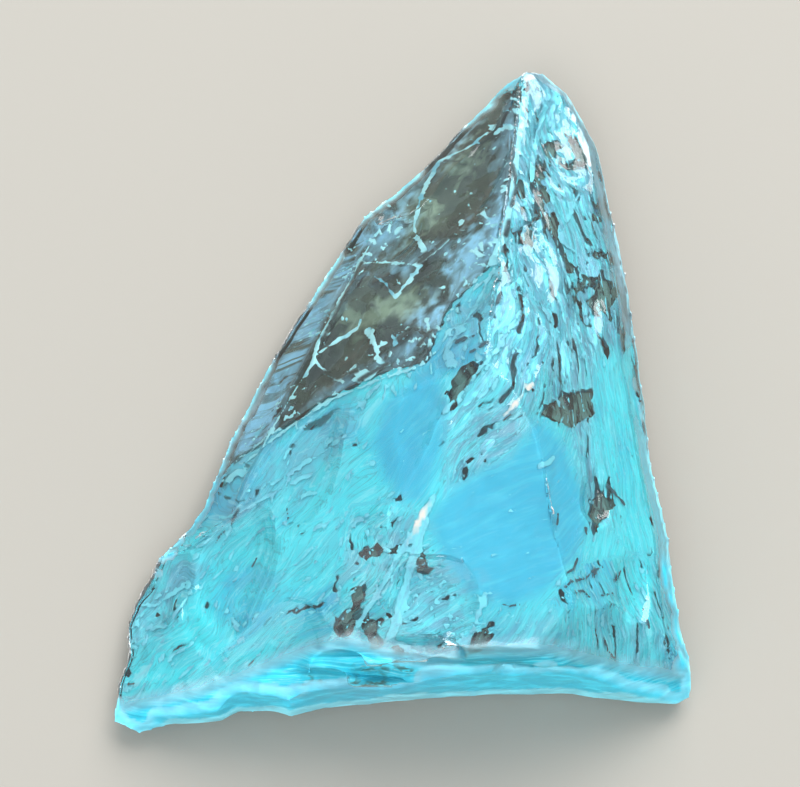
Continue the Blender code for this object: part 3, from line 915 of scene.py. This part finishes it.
def lower_veil(body):
    """The veil deeper in, which shows through the gaps in the upper one."""
    deselect()
    bpy.ops.mesh.primitive_grid_add(x_subdivisions=GRID_CELLS[0], y_subdivisions=GRID_CELLS[1], size=1)
    piece = bpy.context.object
    piece.name = "lower_veil"
    bpy.ops.object.mode_set(mode="EDIT")
    bpy.ops.mesh.select_all(action="SELECT")
    bpy.ops.transform.resize(value=(GRID_SIZE[0] * MM, GRID_SIZE[1] * MM, 1))
    bpy.ops.transform.translate(value=(0, 0, GRID_HEIGHT * MM))
    bpy.ops.object.mode_set(mode="OBJECT")
    modify(
        piece, "SHRINKWRAP", target=body, wrap_method="PROJECT", use_project_z=True,
        use_positive_direction=False, use_negative_direction=True,
    )
    trim(piece, [v for v in piece.data.vertices if v.co.z > (GRID_HEIGHT - 1) * MM])
    modify(piece, "DISPLACE", direction="Z", mid_level=0, strength=-LOWER_DEPTH * MM)
    modify(piece, "SMOOTH", factor=0.6, iterations=12)
    wave(piece, size=3.4, strength=2.6)
    keep_inside(piece, body, LOWER_MARGIN)
    tear(piece, calm_share=0.05, lively_share=0.20, shift=7.0)
    return finish_sheet(piece, veil_finish("lower_veil_finish", 7.0))


def painted_shade_sheet(body):
    """A sheet of painted shade deep in the clear part, and under the openings of the veils."""
    piece = sunk_copy(body, "painted_shade_sheet", LINING_VOXEL, least_up=0.1, depth=SHADE_SHEET_DEPTH, smoothing=8)
    keep_inside(piece, body, SHADE_SHEET_MARGIN)
    points = corners(piece)
    keep_where(piece, np.maximum(covered(points, [CLEAR] + GAPS, 1.0), ovals(points, SPOTS, 0.3)), 0.5)
    finish_sheet(piece, painted_shade_finish())
    points = corners(piece)
    paint(piece, "clear", cover(points, CLEAR, 0.6))
    paint(piece, "khaki", ovals(points, KHAKIS, 1.6))
    paint(piece, "lilac", ovals(points, LILACS, 1.4))
    paint(piece, "bevel", cover(points, BEVEL, 0.6))
    paint(piece, "dusk", ovals(points, DUSKS, 0.6))
    return piece


def crack_lines(points, vary):
    """Half or more where a crack crosses, with a frayed edge and a width that varies."""
    fray = wander(points, 0.5, 3, 5.0)
    lines = np.zeros(len(points))
    for route, width in STROKES:
        if width < THIN_CRACK:
            share = (0.2 + 1.1 * vary) * (0.4 + 1.2 * fray)
        else:
            share = 0.5 + 0.5 * vary + 0.3 * fray
        lines = np.maximum(lines, 1 - 0.5 * off_route(points, route) / (width * share))
    for route, width in DARKS:
        lines = np.maximum(lines, 1 - 0.5 * off_route(points, route) / (width * (0.1 + 1.3 * fray)))
    return lines


def flecks(points):
    """Half or more on a speck or dash: short ones where it is clear or cracked, and long ones elsewhere."""
    density = np.maximum(spread(points, SPECKS, BODY_SPECKS), ovals(points, FEATHERS, 1.0) * 0.30)
    density *= 1 - covered(points, AZURE_REFLECTIONS, 0.8) * 0.8
    short = covered(points, [CLEAR, CRACKLE, RING], 0.5) > 0.5
    specks = ragged(points, SHORT_FLECKS, 0.9, 23.0)
    dashes = ragged(points, LONG_FLECKS, 0.8, 21.0)
    return 0.5 + (density - np.where(short, specks, dashes)) * 3


def edge_highlight(points, body, vary):
    """A painted highlight: half or more in a thin strip beside the outer walls of the clear part and the
    lobe.
    """
    away = off_walls(points, body, RIM_REACH)
    return (0.5 + (0.08 + 0.3 * vary - away) * 1.5) * covered(points, [CLEAR, LOBE], 2.0)


def frost(body):
    """The cracks, dashes and specks just under the surface, with painted glints, painted sparkle dots and a
    painted highlight strip along the edges of the clear part and the lobe.
    """
    piece = sunk_copy(body, "frost", STROKE_VOXEL, least_up=0.05, depth=FROST_DEPTH, smoothing=0)
    keep_inside(piece, body, FROST_MARGIN)
    points = corners(piece)
    vary = wander(points, 1.6, 3, 4.0)
    kept = np.maximum.reduce([
        crack_lines(points, vary),
        flecks(points),
        edge_highlight(points, body, vary),
        ovals(points, GLINTS, 0.3),
        ovals(points, PAINTED_SPARKLES, 0.2),
    ])
    keep_where(piece, kept, 0.5)
    finish_sheet(piece, frost_finish())
    points = corners(piece)
    off = np.minimum.reduce([off_route(points, route) - width for route, width in DARKS])
    paint(piece, "dark", (1 - off / 0.15).clip(0, 1))
    return piece


def mount(piece):
    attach(piece, "root")


FLOOR_SIZE = 3.0
FLOOR_DROP = 0.2 * MM
FLOOR_COLOUR = (0.31, 0.285, 0.25, 1)
SKY_COLOUR = (0.85, 0.94, 1.0, 1)
SKY_STRENGTH = 1.18
# The soft boxes: the place and the width in metres, and the power in watts.
KEY = {"place": (0.20, 0.52, 0.48), "width": 0.7, "power": 10.0}
FILL = {"place": (-0.15, -0.70, 0.30), "width": 1.2, "power": 4.8}


def studio_floor():
    deselect()
    bpy.ops.mesh.primitive_plane_add(size=FLOOR_SIZE, location=(0, 0, -FLOOR_DROP))
    floor = bpy.context.object
    floor.name = "floor"
    finish = Finish("studio_floor")
    finish.set({"Base Color": FLOOR_COLOUR, "Roughness": 0.8})
    floor.data.materials.append(finish.material)


def studio_sky():
    world = bpy.data.worlds.new("studio")
    bpy.context.scene.world = world
    world.use_nodes = True
    sky = world.node_tree.nodes["Background"]
    sky.inputs["Color"].default_value = SKY_COLOUR
    sky.inputs["Strength"].default_value = SKY_STRENGTH


def soft_box(place, width, power):
    """A square light that faces the crystal."""
    bpy.ops.object.light_add(type="AREA", location=place)
    light = bpy.context.object
    light.data.energy = power
    light.data.shape = "SQUARE"
    light.data.size = width
    light.rotation_euler = (-light.location).to_track_quat("-Z", "Y").to_euler()


# The camera looks down at this angle, from this far off the point that it aims at.
ELEVATION = math.radians(78)
DISTANCE = 300 * MM
TARGET = Vector((-0.15, 0.16, 2.5)) * MM
SENSOR = 36.0
PIXELS_WIDE = 800
PIXELS_PER_MM = 13.66
CLIP_START = 0.01


def camera():
    bpy.ops.object.camera_add()
    view = bpy.context.object
    away = Vector((0, -math.cos(ELEVATION), math.sin(ELEVATION)))
    view.location = TARGET + away * DISTANCE
    view.rotation_euler = (math.pi / 2 - ELEVATION, 0, 0)
    view.data.sensor_width = SENSOR
    view.data.lens = PIXELS_PER_MM * (DISTANCE / MM) * SENSOR / PIXELS_WIDE
    view.data.clip_start = CLIP_START
    bpy.context.scene.camera = view


def main():
    noise.seed_set(SEED)
    body = skin()
    mount(body)
    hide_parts("crystal")
    mount(upper_veil(body))
    mount(lower_veil(body))
    # The sheet of painted shade under the clear part and the openings.
    mount(painted_shade_sheet(body))
    mount(frost(body))
    studio_floor()
    studio_sky()
    soft_box(**KEY)
    soft_box(**FILL)
    camera()
    bpy.context.scene.view_settings.view_transform = "Standard"


main()
